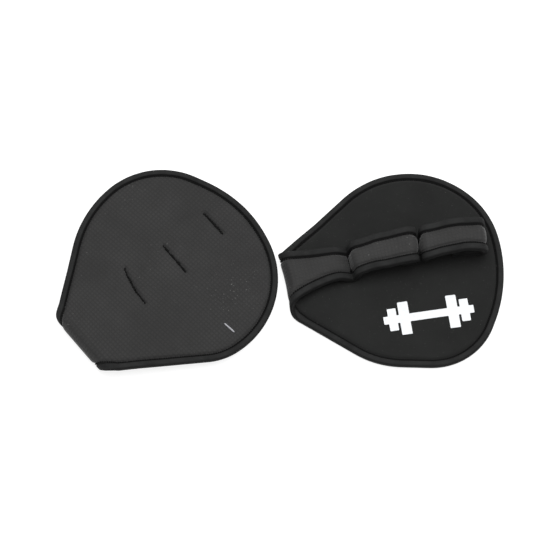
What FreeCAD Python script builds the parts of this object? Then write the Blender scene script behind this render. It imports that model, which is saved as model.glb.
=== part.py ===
"""A pair of soft grip pads for lifting and bar work: a right and a left one, which mirror each other.

Each grip is a teardrop sheet of neoprene foam with a textured fabric on its palm side and a smooth
jersey on its hand side. The narrow end folds over the hand side and goes on as a strap, which is sewn
down in three places, so that it forms finger loops. A folded tape binds every edge.

The grips lie side by side on a surface: the right one with its palm side down and its loops up, and the
left one on its loops, with its palm side up and its two flaps leaning down to the surface.

A grip is drawn in its own axes: X from the fold to the far end, Y towards the fingertips, and Z from the
palm side to the hand side, with Z = 0 at the palm side of the binding. The left grip turns Z over.
"""

import FreeCAD
import Part
import math
import os

from FreeCAD import Placement, Rotation, Vector

DIMS = {
    # the teardrop's polygon, whose corners are rounded
    "fold_top_y": 20.5,
    "fold_low_y": -21.5,
    "upper_x": 68.0,
    "upper_y": 61.0,
    "upper_radius": 60.0,
    "far_top_x": 136.0,
    "far_top_y": 55.0,
    "far_top_radius": 56.0,
    "far_x": 140.0,
    "far_y": -18.0,
    "far_radius": 47.0,
    "far_low_x": 112.0,
    "far_low_y": -89.0,
    "far_low_radius": 53.0,
    "lower_x": 45.0,
    "lower_y": -66.5,
    "lower_radius": 82.0,
    # the layers of the sheet and its binding
    "face_thickness": 0.6,
    "foam_thickness": 3.2,
    "lining_thickness": 0.4,
    "binding_thickness": 0.5,
    "binding_width": 5.0,
    "binding_rounding": 1.2,
    "thread_gap": 0.05,
    "thread_width": 0.5,
    "thread_height": 0.35,
    # the lines where the flaps flex, and the flexible strips along them
    "flex_near_x": 7.25,
    "flex_far_x": 139.0,
    "finger_flex_near_y": 27.5,
    "finger_flex_far_y": 19.0,
    "palm_flex_near_y": -35.2,
    "palm_flex_far_y": -17.0,
    "flex_gap": 4.8,
    "flex_strip_width": 4.2,
    # the strap in plan
    "strap_width": 21.2,
    "neck_x": 7.25,
    "neck_top_y": 16.6,
    "neck_low_y": -13.0,
    "neck_mid_x": 20.0,
    "neck_mid_top_y": 14.4,
    "neck_mid_low_y": -8.9,
    "neck_radius": 14.0,
    # the right strap in profile: its heights are those of the middle of the band
    "right_fold_radius": 4.65,
    "right_seam_a_x": 44.0,
    "right_seam_b_x": 79.5,
    "right_strap_end_x": 108.5,
    "right_strap_mid_near_y": 2.4,
    "right_strap_mid_far_y": 1.4,
    "seam_height": 7.3,
    "seam_radius": 2.9,
    "valley_depth": 1.5,
    "loop_corner_radius": 4.2,
    "tongue_end_before_seam": 9.0,
    "tongue_rise": 0.4,
    "tongue_end_radius": 8.0,
    "middle_loop_foot": 3.1,
    "middle_loop_crown_length": 6.0,
    "middle_loop_crown_radius": 30.0,
    "end_loop_foot": 0.8,
    "end_loop_foot_radius": 3.2,
    "pleat_radius": 2.8,
    "middle_loop_left_height": 17.4,
    "middle_loop_turn_x": 81.6,
    "middle_loop_turn_radius": 3.3,
    "end_loop_left_x": 91.0,
    "end_loop_left_height": 19.0,
    "end_loop_far_x": 128.9,
    "end_loop_height": 20.5,
    "end_loop_radius": 4.6,
    # the left strap, pressed lower by the pad that lies on it
    "left_fold_radius": 5.35,
    "left_seam_a_x": 52.0,
    "left_seam_b_x": 83.5,
    "left_strap_end_x": 112.5,
    "left_strap_mid_near_y": 0.6,
    "left_strap_mid_far_y": -6.0,
    "left_loop_far_x": 127.0,
    "left_valley_half_width": 6.5,
    "left_valley_edge_radius": 3.0,
    "left_droop_palm": 4.0,
    "left_droop_finger": 2.0,
    # the seams that hold the strap down
    "seam_a_length": 24.0,
    "seam_b_length": 21.0,
    "seam_c_length": 19.5,
    "seam_c_from_end": 6.0,
    "seam_width": 1.2,
    # the print on the hand side, and the pin of a swing tag
    "print_x": 84.0,
    "print_y": -40.0,
    "print_turn": -4.0,
    "print_thickness": 0.12,
    "tag_x": 72.8,
    "tag_y": -61.1,
    "tag_length": 8.6,
    "tag_radius": 0.55,
    # where the two grips lie
    "right_turn": 12.45,
    "right_x": 1.91,
    "right_y": -8.64,
    "left_turn": 47.54,
    "left_x": -126.34,
    "left_y": -54.08,
}

FAR = 200.0  # past every edge of the object
MARGIN = 10.0  # how far a plan runs on past a line that another shape trims it to
PAST_FOLD = 1.0  # how far the strap's plan starts outside the fold
HAIR = 0.001  # keeps two arcs of a path from touching each other
# the print's half outline, a dumbbell: how far out each step ends, and its half height
DUMBBELL_STEPS = ((12.0, 2.6), (18.5, 11.0), (20.0, 2.6), (25.5, 7.5), (28.5, 2.6))
SIDES = {"right": 1, "left": -1}  # which way Z runs in each grip
SHEET = "Dims.face_thickness + Dims.foam_thickness + Dims.lining_thickness"

doc = FreeCAD.newDocument("HandGrips")
sheet = doc.addObject("Spreadsheet::Sheet", "Dims")
sub_parts = []


def fill_sheet():
    for row, (alias, number) in enumerate(DIMS.items(), start=1):
        sheet.set(f"A{row}", alias)
        sheet.set(f"B{row}", str(number))
        sheet.setAlias(f"B{row}", alias)
    doc.recompute()


def dim(alias):
    return float(sheet.get(alias))


# ---------------------------------------------------------------- plane geometry


def unit(v):
    return v / v.Length


def left_of(v):
    return Vector(-v.y, v.x, 0)


def parallel(points, radii, distance, closed=True):
    """The same rounded polyline, moved to the left of its direction of travel by distance."""
    count = len(points)
    moved, new_radii = [], []
    for i, point in enumerate(points):
        has_before, has_after = closed or i > 0, closed or i < count - 1
        before = unit(point - points[i - 1]) if has_before else None
        after = unit(points[(i + 1) % count] - point) if has_after else None
        if before is None or after is None:
            moved.append(point + left_of(before or after) * distance)
            new_radii.append(0)
            continue
        n_before, n_after = left_of(before), left_of(after)
        bisector = n_before + n_after
        moved.append(point + bisector * (distance / (1 + n_before.dot(n_after))))
        turns_left = before.cross(after).z > 0
        new_radii.append(radii[i] + (-distance if turns_left else distance) if radii[i] else 0)
    return moved, new_radii


def rounded_edges(points, radii, closed=True):
    """Lines and tangent arcs along a polyline whose corners have the given radii."""
    count = len(points)
    starts, ends, arcs = [], [], []
    for i, point in enumerate(points):
        if radii[i] <= 0 or (not closed and i in (0, count - 1)):
            starts.append(point)
            ends.append(point)
            arcs.append(None)
            continue
        back = unit(points[i - 1] - point)
        ahead = unit(points[(i + 1) % count] - point)
        half = math.acos(max(-1.0, min(1.0, back.dot(ahead)))) / 2
        reach = radii[i] / math.tan(half)
        centre = point + unit(back + ahead) * (radii[i] / math.sin(half))
        starts.append(point + back * reach)
        ends.append(point + ahead * reach)
        middle = centre + unit(point - centre) * radii[i]
        arcs.append(Part.Arc(starts[-1], middle, ends[-1]))
    edges = []
    for i in range(count if closed else count - 1):
        following = (i + 1) % count
        if (starts[following] - ends[i]).Length > 1e-6:
            edges.append(Part.LineSegment(ends[i], starts[following]).toShape())
        if arcs[following] is not None:
            edges.append(arcs[following].toShape())
    return edges


def face_of(points, radii=None):
    radii = radii or [0] * len(points)
    return Part.Face(Part.Wire(rounded_edges(points, radii)))


def outline(inset=0.0):
    """The teardrop's plan, drawn anticlockwise, as a face."""
    corners = [("lower", -1), ("far_low", -1), ("far", 1), ("far_top", 1), ("upper", 1)]
    points = [Vector(0, dim("fold_top_y"), 0), Vector(0, dim("fold_low_y"), 0)]
    points += [Vector(dim(f"{c}_x"), dim(f"{c}_y"), 0) for c, _ in corners]
    radii = [0, 0] + [dim(f"{c}_radius") for c, _ in corners]
    points, radii = parallel(points, radii, inset)
    return face_of(points, radii)


def flex_line(flap):
    """The two ends of the line that a flap flexes about, in plan."""
    near = Vector(dim("flex_near_x"), dim(f"{flap}_flex_near_y"), 0)
    far = Vector(dim("flex_far_x"), dim(f"{flap}_flex_far_y"), 0)
    return near, far


def beyond(flap, distance):
    """A large face that holds everything further out than distance from a flap's flex line."""
    near, far = flex_line(flap)
    along = unit(far - near)
    out = left_of(along) * (1 if flap == "finger" else -1)
    a, b = near - along * FAR + out * distance, far + along * FAR + out * distance
    return face_of([a, b, b + out * FAR, a + out * FAR])


def centre_zone(extra=0.0):
    """What lies between the two flex gaps."""
    zone = face_of([Vector(x, y, 0) for x, y in ((-FAR, -FAR), (FAR, -FAR), (FAR, FAR), (-FAR, FAR))])
    for flap in ("finger", "palm"):
        zone = zone.cut(beyond(flap, -dim("flex_gap") / 2 + extra))
    return zone


def flap_zone(flap, extra=0.0):
    return beyond(flap, dim("flex_gap") / 2 - extra)


def strip_zone(flap):
    half = dim("flex_strip_width") / 2
    strip = beyond(flap, -half).cut(beyond(flap, half))
    right_of_fold = face_of([Vector(dim("neck_x"), -FAR, 0), Vector(FAR, -FAR, 0), Vector(FAR, FAR, 0),
                             Vector(dim("neck_x"), FAR, 0)])
    return strip.common(right_of_fold)


def strap_middle(side, x):
    """The Y of the strap's middle at x."""
    near_x, far_x = dim(f"{side}_seam_a_x"), dim(f"{side}_strap_end_x")
    near_y, far_y = dim(f"{side}_strap_mid_near_y"), dim(f"{side}_strap_mid_far_y")
    return near_y + (far_y - near_y) * (x - near_x) / (far_x - near_x)


def strap_plan(side, inset=0.0):
    """The strap's plan from just outside the fold to past its far end. Its two ends aren't inset."""
    half = dim("strap_width") / 2
    seam, far = dim(f"{side}_seam_a_x"), FAR
    radius = dim("neck_radius")
    points, radii = {}, {}
    for edge, sign in (("low", -1), ("top", 1)):
        line = [(-PAST_FOLD, dim(f"fold_{edge}_y")), (dim("neck_x"), dim(f"neck_{edge}_y")),
                (dim("neck_mid_x"), dim(f"neck_mid_{edge}_y"))]
        line += [(x, strap_middle(side, x) + sign * half) for x in (seam, far)]
        corners = [Vector(x, y, 0) for x, y in line]
        edge_radii = [0, radius / 2, radius, radius, 0]
        points[edge], radii[edge] = parallel(corners, edge_radii, -sign * inset, False)
    return face_of(points["low"] + points["top"][::-1], radii["low"] + radii["top"][::-1])


# ---------------------------------------------------------------- the strap's profile


def right_strap_path():
    """The middle of the right strap's band, from the fold's outermost point to its end, as X and height."""
    radius, low = dim("right_fold_radius"), dim("seam_height")
    fold_x = radius + sheet_total() / 2 + dim("binding_thickness")
    fold_z = binding_height() / 2 + radius
    seam_a, seam_b = dim("right_seam_a_x"), dim("right_seam_b_x")
    turn_x, turn_r, pleat_r = dim("middle_loop_turn_x"), dim("middle_loop_turn_radius"), dim("pleat_radius")
    crown = low + 2 * pleat_r + 2 * turn_r
    corner, far_r = dim("loop_corner_radius"), dim("end_loop_radius")
    tongue_end = (seam_a - dim("tongue_end_before_seam"), fold_z + radius + dim("tongue_rise"))
    return [
        ((fold_x - radius, fold_z), 0),
        ((fold_x - radius, fold_z + radius), radius - HAIR),
        (tongue_end, dim("tongue_end_radius")),
        ((seam_a, low - dim("valley_depth")), dim("seam_radius")),
        ((seam_a + dim("middle_loop_foot"), dim("middle_loop_left_height")), corner),
        ((turn_x - dim("middle_loop_crown_length"), crown), dim("middle_loop_crown_radius")),
        ((turn_x + turn_r, crown), turn_r - HAIR),
        ((turn_x + turn_r, crown - 2 * turn_r), turn_r - HAIR),
        ((seam_b - pleat_r, low + 2 * pleat_r), pleat_r - HAIR),
        ((seam_b - pleat_r, low), pleat_r - HAIR),
        ((dim("end_loop_left_x") - dim("end_loop_foot"), low), dim("end_loop_foot_radius")),
        ((dim("end_loop_left_x"), dim("end_loop_left_height")), corner),
        ((dim("end_loop_far_x"), dim("end_loop_height")), far_r),
        ((dim("end_loop_far_x"), low), far_r),
        ((dim("right_strap_end_x"), low), 0),
    ]


def left_strap_path():
    """The same for the left strap, whose loops are low arches under the pad."""
    radius, low, seam_r = dim("left_fold_radius"), dim("seam_height"), dim("seam_radius")
    fold_x = radius + sheet_total() / 2 + dim("binding_thickness")
    fold_z = binding_height() / 2 + radius
    crown = fold_z + radius
    seam_a, seam_b = dim("left_seam_a_x"), dim("left_seam_b_x")
    half, edge_r = dim("left_valley_half_width"), dim("left_valley_edge_radius")
    path = [((fold_x - radius, fold_z), 0), ((fold_x - radius, crown), radius - HAIR)]
    for seam in (seam_a, seam_b):
        valley = (seam, low - dim("valley_depth"))
        path += [((seam - half, crown), edge_r), (valley, seam_r), ((seam + half, crown), edge_r)]
    far, far_r = dim("left_loop_far_x"), (crown - low) / 2 - 10 * HAIR
    path += [((far, crown), far_r), ((far, low), far_r), ((dim("left_strap_end_x"), low), 0)]
    return path


def pad_path(side):
    """The middle of the pad's sheet, from its far end to the fold's outermost point."""
    radius = dim(f"{side}_fold_radius")
    fold_x = radius + sheet_total() / 2 + dim("binding_thickness")
    middle = binding_height() / 2
    return [((FAR, middle), 0), ((fold_x - radius, middle), radius), ((fold_x - radius, middle + radius), 0)]


def sheet_total():
    return dim("face_thickness") + dim("foam_thickness") + dim("lining_thickness")


def binding_height():
    return sheet_total() + 2 * dim("binding_thickness")


# ---------------------------------------------------------------- document objects


def sketch_from(name, edges, body=None, offset=None, upright=False):
    """A sketch that holds the given edges, on a body's XY plane or free in the document."""
    owner = body or doc
    sketch = (owner.newObject if body else owner.addObject)("Sketcher::SketchObject", name)
    if body:
        plane = next(f for f in body.Origin.OriginFeatures if f.Role == "XY_Plane")
        sketch.AttachmentSupport = [(plane, "")]
        sketch.MapMode = "FlatFace"
        if offset:
            sketch.setExpression("AttachmentOffset.Base.z", offset)
    elif upright:
        sketch.Placement = Placement(Vector(), Rotation(Vector(1, 0, 0), 90))
    for edge in edges:
        sketch.addGeometry(curve_of(edge), False)
    return sketch


def curve_of(edge):
    """An edge as the geometry that a sketch takes."""
    first, last = edge.valueAt(edge.FirstParameter), edge.valueAt(edge.LastParameter)
    if isinstance(edge.Curve, (Part.Line, Part.LineSegment)):
        return Part.LineSegment(first, last)
    middle = edge.valueAt((edge.FirstParameter + edge.LastParameter) / 2)
    return Part.Arc(first, middle, last)


def keep(obj, label, place):
    """Puts a finished sub-part where it lies and lists it for writing."""
    obj.Label = label
    obj.Placement = place
    sub_parts.append(obj)
    return obj


def wires(face):
    return [edge for f in face.Faces for edge in f.Edges]


def layer(side, bottom, thickness):
    """The expression of a flat layer's lower height: Z runs the other way in the left grip."""
    return bottom if side == "right" else f"-({bottom}) - ({thickness})"


def flat_piece(side, label, face, bottom, thickness, place):
    """A layer of even thickness, padded from its plan."""
    body = doc.addObject("PartDesign::Body", f"{side}_{label}")
    sketch = sketch_from(f"{side}_{label}_plan", wires(face), body, layer(side, bottom, thickness))
    pad = body.newObject("PartDesign::Pad", f"{side}_{label}_pad")
    pad.Profile = sketch
    pad.setExpression("Length", thickness)
    return keep(body, f"{side}_{label}", place)


def flat_binding(side, label, flap, place):
    """A binding along a flap's edge: a rounded rim with a channel that holds the sheet."""
    body = doc.addObject("PartDesign::Body", f"{side}_{label}")
    height = f"2 * Dims.binding_thickness + {SHEET}"
    rim = outline().cut(outline(dim("binding_width"))).common(flap_zone(flap))
    pad = body.newObject("PartDesign::Pad", f"{side}_{label}_pad")
    pad.Profile = sketch_from(f"{side}_{label}_rim", wires(rim), body, layer(side, "0", height))
    pad.setExpression("Length", height)
    doc.recompute()
    border = outline().Wires[0]
    outer = [f"Edge{i}" for i, edge in enumerate(pad.Shape.Edges, start=1) if on_border(edge, border)]
    rounding = body.newObject("PartDesign::Fillet", f"{side}_{label}_rounding")
    rounding.Base = (pad, outer)
    rounding.setExpression("Radius", "Dims.binding_rounding")
    channel = outline(dim("binding_thickness")).cut(outline(dim("binding_width") + MARGIN))
    channel = channel.common(flap_zone(flap, 1))
    pocket = body.newObject("PartDesign::Pocket", f"{side}_{label}_channel")
    start = layer(side, "Dims.binding_thickness", SHEET)
    pocket.Profile = sketch_from(f"{side}_{label}_channel_plan", wires(channel), body, start)
    pocket.setExpression("Length", SHEET)
    pocket.Reversed = True
    doc.recompute()
    if pocket.Shape.Volume > 0.6 * pad.Shape.Volume:
        raise RuntimeError(f"{label}: its channel cuts nothing")
    return keep(body, f"{side}_{label}", place)


def on_border(edge, border):
    """True for an edge that runs along the teardrop's outline, at either height."""
    middle = edge.valueAt((edge.FirstParameter + edge.LastParameter) / 2)
    ends = [v.Point for v in edge.Vertexes]
    level = len(ends) == 2 and abs(ends[0].z - ends[1].z) < 1e-6
    return level and border.distToShape(Part.Vertex(middle.x, middle.y, 0))[0] < 1e-4


def block(name, edges, upright=False):
    """A sketch extruded both ways: a plan along Z, or a profile along Y."""
    sketch = sketch_from(f"{name}_sketch", edges, upright=upright)
    solid = doc.addObject("Part::Extrusion", name)
    solid.Base = sketch
    solid.DirMode = "Custom"
    solid.Dir = Vector(0, 1, 0) if upright else Vector(0, 0, 1)
    solid.LengthFwd = solid.LengthRev = FAR
    solid.Solid = True
    return solid


def band(name, side, path, inner, outer):
    """The part of a bent sheet between two distances from its middle, the palm side's being positive."""
    points = [Vector(x, z * SIDES[side], 0) for (x, z), _ in path]
    radii = [r for _, r in path]
    sign = SIDES[side]
    lower, lower_radii = parallel(points, radii, inner * sign, False)
    upper, upper_radii = parallel(points, radii, outer * sign, False)
    edges = rounded_edges(lower, lower_radii, False)
    edges.append(Part.LineSegment(lower[-1], upper[-1]).toShape())
    edges += rounded_edges(upper, upper_radii, False)[::-1]
    edges.append(Part.LineSegment(upper[0], lower[0]).toShape())
    return block(name, edges, upright=True)


def combine(kind, name, first, second):
    solid = doc.addObject(f"Part::{kind}", name)
    solid.Base, solid.Tool = (first, second)
    return solid


def bent_layers(side, prefix, path, plan, place):
    """Face, foam and lining of a bent sheet, inside its binding."""
    middle = sheet_total() / 2
    levels = {
        "face": (middle - dim("face_thickness"), middle),
        "foam": (dim("lining_thickness") - middle, middle - dim("face_thickness")),
        "lining": (-middle, dim("lining_thickness") - middle),
    }
    for layer_name, (inner, outer) in levels.items():
        name = f"{side}_{prefix}_{layer_name}"
        slab = band(f"{name}_band", side, path, inner, outer)
        prism = block(f"{name}_prism", wires(plan))
        keep(combine("Common", name, slab, prism), name, place)


def bent_binding(side, label, path, rim, inside, place):
    """A binding along a bent sheet's edge, with the sheet's own space cut out of it."""
    name = f"{side}_{label}"
    half = binding_height() / 2
    outer = combine("Common", f"{name}_whole", band(f"{name}_band", side, path, -half, half),
                    block(f"{name}_rim", wires(rim)))
    middle = sheet_total() / 2
    inner = combine("Common", f"{name}_space", band(f"{name}_core", side, path, -middle, middle),
                    block(f"{name}_inside", wires(inside)))
    return keep(combine("Cut", name, outer, inner), name, place)


def bent_thread(side, label, path, line, place):
    """The binding's sewing thread on a bent sheet: a low ridge on each face, beside the binding."""
    name = f"{side}_{label}"
    middle, height = sheet_total() / 2, dim("thread_height")
    levels = {"palm": (middle, middle + height), "hand": (-middle - height, -middle)}
    both = []
    for face_name, (inner, outer) in levels.items():
        part = f"{name}_{face_name}"
        both.append(combine("Common", part, band(f"{part}_band", side, path, inner, outer),
                            block(f"{part}_line", wires(line))))
    group = doc.addObject("Part::Compound", name)
    group.Links = both
    return keep(group, name, place)


def thread_line(outline_at):
    """The plan of the thread beside a binding, from a function that gives the outline at an inset."""
    start = dim("binding_width") + dim("thread_gap")
    return outline_at(start).cut(outline_at(start + dim("thread_width")))


# ---------------------------------------------------------------- the pieces of a grip


def flap_pieces(side, flap, place):
    """The layers, binding and sewing thread of the finger flap or the palm flap."""
    sheet_plan = outline(dim("binding_thickness")).common(flap_zone(flap))
    face, foam, lining, tape = (
        "Dims.face_thickness", "Dims.foam_thickness", "Dims.lining_thickness", "Dims.binding_thickness"
    )
    flat_piece(side, f"{flap}_flap_face", sheet_plan, tape, face, place)
    flat_piece(side, f"{flap}_flap_foam", sheet_plan, f"{tape} + {face}", foam, place)
    flat_piece(side, f"{flap}_flap_lining", sheet_plan, f"{tape} + {face} + {foam}", lining, place)
    flat_binding(side, f"{flap}_flap_binding", flap, place)
    line = thread_line(outline).common(flap_zone(flap))
    flat_thread(side, f"{flap}_flap_thread", line, place)


def flat_thread(side, label, line, place):
    """The binding's sewing thread on a flat sheet: a low ridge on each face."""
    name = f"{side}_{label}"
    levels = {
        "palm": "Dims.binding_thickness - Dims.thread_height",
        "hand": f"Dims.binding_thickness + {SHEET}",
    }
    both = []
    for face_name, bottom in levels.items():
        ridge = doc.addObject("Part::Extrusion", f"{name}_{face_name}")
        ridge.Base = sketch_from(f"{name}_{face_name}_line", wires(line))
        ridge.Base.setExpression("Placement.Base.z", layer(side, bottom, "Dims.thread_height"))
        ridge.DirMode = "Custom"
        ridge.Dir = Vector(0, 0, 1)
        ridge.setExpression("LengthFwd", "Dims.thread_height")
        ridge.Solid = True
        both.append(ridge)
    group = doc.addObject("Part::Compound", name)
    group.Links = both
    return keep(group, name, place)


def flex_strip(side, flap, place):
    """The strip of sheet that bends between the middle and a flap."""
    plan = outline(dim("binding_thickness")).common(strip_zone(flap))
    flat_piece(side, f"{flap}_flex_strip", plan, "Dims.binding_thickness", SHEET, place)


def centre_pieces(side, place):
    """The middle of the pad, with the lower half of the fold."""
    path, zone = pad_path(side), centre_zone()
    tape, width = dim("binding_thickness"), dim("binding_width")
    inside = outline_open_at_fold(tape).common(zone)
    bent_layers(side, "centre", path, inside, place)
    rim = outline_open_at_fold().cut(outline_open_at_fold(width)).common(zone)
    bent_binding(side, "centre_binding", path, rim, outline_open_at_fold(tape), place)
    line = thread_line(outline_open_at_fold).common(zone)
    bent_thread(side, "centre_thread", path, line, place)


def outline_open_at_fold(inset=0.0):
    """The outline inset on every side but the fold, past which it runs on."""
    corners = ["lower", "far_low", "far", "far_top", "upper"]
    low = unit(Vector(dim("lower_x"), dim("lower_y") - dim("fold_low_y"), 0))
    top = unit(Vector(dim("upper_x"), dim("upper_y") - dim("fold_top_y"), 0))
    points = [Vector(0, dim("fold_low_y"), 0) - low * MARGIN]
    points += [Vector(dim(f"{c}_x"), dim(f"{c}_y"), 0) for c in corners]
    points += [Vector(0, dim("fold_top_y"), 0) - top * MARGIN]
    radii = [0] + [dim(f"{c}_radius") for c in corners] + [0]
    points, radii = parallel(points, radii, inset, False)
    return face_of(points, radii)


def strap_pieces(side, place):
    """The upper half of the fold, the tongue and the finger loops."""
    path = right_strap_path() if side == "right" else left_strap_path()
    tape, width = dim("binding_thickness"), dim("binding_width")
    plan = strap_plan(side, tape)
    bent_layers(side, "strap", path, plan, place)
    for edge_name, half_plane in (("upper", 1), ("lower", -1)):
        rim = strap_plan(side).cut(strap_plan(side, width)).common(beside_strap(side, half_plane))
        bent_binding(side, f"strap_binding_{edge_name}", path, rim, plan, place)
    bent_thread(side, "strap_thread", path, thread_line(lambda inset: strap_plan(side, inset)), place)


def beside_strap(side, half_plane):
    """Everything on one side of the strap's middle line, up to past the strap's far end."""
    a = Vector(-MARGIN, strap_middle(side, dim(f"{side}_seam_a_x")), 0)
    b = Vector(FAR - MARGIN, strap_middle(side, FAR), 0)
    out = Vector(0, FAR * half_plane, 0)
    corners = [a, b, b + out, a + out]
    return face_of(corners if half_plane > 0 else corners[::-1])


def seam_box(name, middle_x, middle_y, length, bottom, height):
    """A bar across the strap, for a seam's threads, with its lower face at bottom."""
    bar = doc.addObject("Part::Box", name)
    bar.setExpression("Length", "Dims.seam_width")
    bar.Width = length
    bar.Height = height
    corner = Vector(middle_x - dim("seam_width") / 2, middle_y - length / 2, bottom)
    bar.Placement = Placement(corner, Rotation())
    return bar


def upright_bottom(side, bottom, height):
    """The lower height of something whose height in a right grip is given."""
    return bottom if side == "right" else -bottom - height


def seam_threads(side, place):
    """Three seams: each shows as a ridge of thread on the palm side and as one on the strap."""
    path = right_strap_path() if side == "right" else left_strap_path()
    middle, height = sheet_total() / 2, dim("thread_height")
    edge = dim("binding_width") + dim("thread_gap") + dim("thread_width")
    inside = dim("strap_width") - 2 * edge - 2 * dim("thread_gap")
    seam_x = {
        "a": dim(f"{side}_seam_a_x"),
        "b": dim(f"{side}_seam_b_x") + (dim("pleat_radius") if side == "right" else 0),
        "c": dim(f"{side}_strap_end_x") + dim("seam_c_from_end"),
    }
    for row, x in seam_x.items():
        name = f"{side}_seam_{row}"
        y, length = strap_middle(side, x), dim(f"seam_{row}_length")
        palm_bottom = upright_bottom(side, dim("binding_thickness") - height, height)
        palm_ridge = seam_box(f"{name}_palm", x, y, length, palm_bottom, height)
        if row == "a" or (row == "b" and side == "left"):
            reach = dim("seam_height") + sheet_total()
            window = seam_box(f"{name}_window", x, y, inside, upright_bottom(side, 0, reach), reach)
            strap_ridge = combine(
                "Common", f"{name}_strap", band(f"{name}_band", side, path, middle, middle + height), window
            )
        else:
            top = dim("seam_height") + middle
            strap_ridge = seam_box(f"{name}_strap", x, y, inside, upright_bottom(side, top, height), height)
        threads = doc.addObject("Part::Compound", f"{name}_threads")
        threads.Links = [palm_ridge, strap_ridge]
        keep(threads, f"{name}_threads", place)


def printed_mark(side, place):
    """A plain dumbbell printed on the hand side of the palm flap."""
    steps, low_x = [], 0.0
    for end_x, half_height in DUMBBELL_STEPS:
        steps += [(low_x, half_height), (end_x, half_height)]
        low_x = end_x
    quarter = steps[1:]
    around = quarter + [(x, -y) for x, y in quarter[::-1]]
    around += [(-x, -y) for x, y in quarter] + [(-x, y) for x, y in quarter[::-1]]
    turn = Rotation(Vector(0, 0, 1), dim("print_turn"))
    middle = Vector(dim("print_x"), dim("print_y"), 0)
    face = face_of([middle + turn.multVec(Vector(x, y, 0)) for x, y in around])
    bottom = f"Dims.binding_thickness + {SHEET}"
    flat_piece(side, "printed_mark", face, bottom, "Dims.print_thickness", place)


def tag_pin(side, place):
    """The crossbar of a swing tag's plastic pin, which lies on the palm side."""
    pin = doc.addObject("Part::Cylinder", f"{side}_tag_pin_bar")
    pin.setExpression("Radius", "Dims.tag_radius")
    pin.setExpression("Height", "Dims.tag_length - 2 * Dims.tag_radius")
    doc.recompute()
    rounded = doc.addObject("Part::Fillet", f"{side}_tag_pin")
    rounded.Base = pin
    radius = dim("tag_radius") * 0.98
    rims = [i for i, e in enumerate(pin.Shape.Edges, start=1) if isinstance(e.Curve, Part.Circle)]
    rounded.Edges = [(i, radius, radius) for i in rims]
    height = (dim("binding_thickness") - dim("tag_radius")) * SIDES[side]
    start_y = dim("tag_y") - dim("tag_length") / 2 + dim("tag_radius")
    lying = Placement(Vector(dim("tag_x"), start_y, height), Rotation(Vector(1, 0, 0), -90))
    return keep(rounded, f"{side}_tag_pin", place * lying)


def place_of(side):
    turn = Rotation(Vector(0, 0, 1), dim(f"{side}_turn"))
    return Placement(Vector(dim(f"{side}_x"), dim(f"{side}_y"), resting_height(side)), turn)


def resting_height(side):
    """How far a grip's Z = 0 is above the surface."""
    if side == "right":
        return 0.0
    return binding_height() + 2 * dim("left_fold_radius")


def leaning(side, flap, share=1.0):
    """The turn of a flap about its flex line as it lies."""
    if side == "right":
        return Placement()
    near, far = flex_line(flap)
    pivot = near + Vector(0, 0, binding_height() / 2 * SIDES[side])
    angle = dim(f"left_droop_{flap}") * share * (1 if flap == "palm" else -1)
    return Placement(Vector(), Rotation(far - near, angle), pivot)


def build_grip(side):
    place = place_of(side)
    centre_pieces(side, place)
    strap_pieces(side, place)
    seam_threads(side, place)
    for flap in ("finger", "palm"):
        flex_strip(side, flap, place * leaning(side, flap, 0.5))
        flap_pieces(side, flap, place * leaning(side, flap))
    printed_mark(side, place * leaning(side, "palm"))
    if side == "left":
        tag_pin(side, place * leaning(side, "palm"))


def write_parts():
    doc.recompute()
    os.makedirs("parts", exist_ok=True)
    for old in os.listdir("parts"):
        os.remove(os.path.join("parts", old))
    for obj in doc.Objects:
        bad = [s for s in obj.State if s in ("Invalid", "Error")]
        if bad:
            raise RuntimeError(f"{obj.Label} is {bad}")
    for obj in sub_parts:
        shape = obj.Shape
        if shape.isNull() or not shape.isValid() or not shape.Solids:
            raise RuntimeError(f"{obj.Label} has no valid solid")
        shape.exportStep(os.path.join("parts", f"{obj.Label}.step"))
        box = shape.BoundBox
        heights = f"z {box.ZMin:.2f} to {box.ZMax:.2f}"
        print(f"{obj.Label}: {len(shape.Solids)} solids, {shape.Volume:.0f} mm3, {heights}")


fill_sheet()
for grip_side in SIDES:
    build_grip(grip_side)
write_parts()
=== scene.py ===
"""The looks of the two grips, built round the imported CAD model.

The real grip is one laminated sheet, cut flat, bound all round, folded over and sewn down. It is made
the same way here: each piece is drawn on the flat pattern, in (u, y), and a function lays the pattern
along the fold and the loops. For u above the fold's start, u is the grip's own X. Below it, u runs
backwards along the strap. Lengths are in millimetres in a grip's own axes until the last step.
"""

import math

import bpy
import numpy as np
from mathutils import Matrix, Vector
from mathutils.geometry import delaunay_2d_cdt


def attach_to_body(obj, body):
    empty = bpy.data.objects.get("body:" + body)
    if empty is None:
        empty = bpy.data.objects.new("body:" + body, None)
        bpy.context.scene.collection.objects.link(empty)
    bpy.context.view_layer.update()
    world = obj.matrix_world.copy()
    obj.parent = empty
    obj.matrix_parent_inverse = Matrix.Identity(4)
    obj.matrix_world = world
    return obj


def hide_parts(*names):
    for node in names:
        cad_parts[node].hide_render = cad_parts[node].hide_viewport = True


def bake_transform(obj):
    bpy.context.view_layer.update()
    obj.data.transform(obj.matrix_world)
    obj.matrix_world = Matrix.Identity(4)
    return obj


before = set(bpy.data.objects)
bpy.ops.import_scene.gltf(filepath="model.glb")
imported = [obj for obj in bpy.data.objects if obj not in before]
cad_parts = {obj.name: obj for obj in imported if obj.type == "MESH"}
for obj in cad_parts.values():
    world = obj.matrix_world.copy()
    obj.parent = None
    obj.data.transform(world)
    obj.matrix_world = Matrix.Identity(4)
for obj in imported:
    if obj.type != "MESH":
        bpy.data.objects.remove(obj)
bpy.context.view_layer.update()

MM = 0.001

# ---------------------------------------------------------------- sizes

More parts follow.
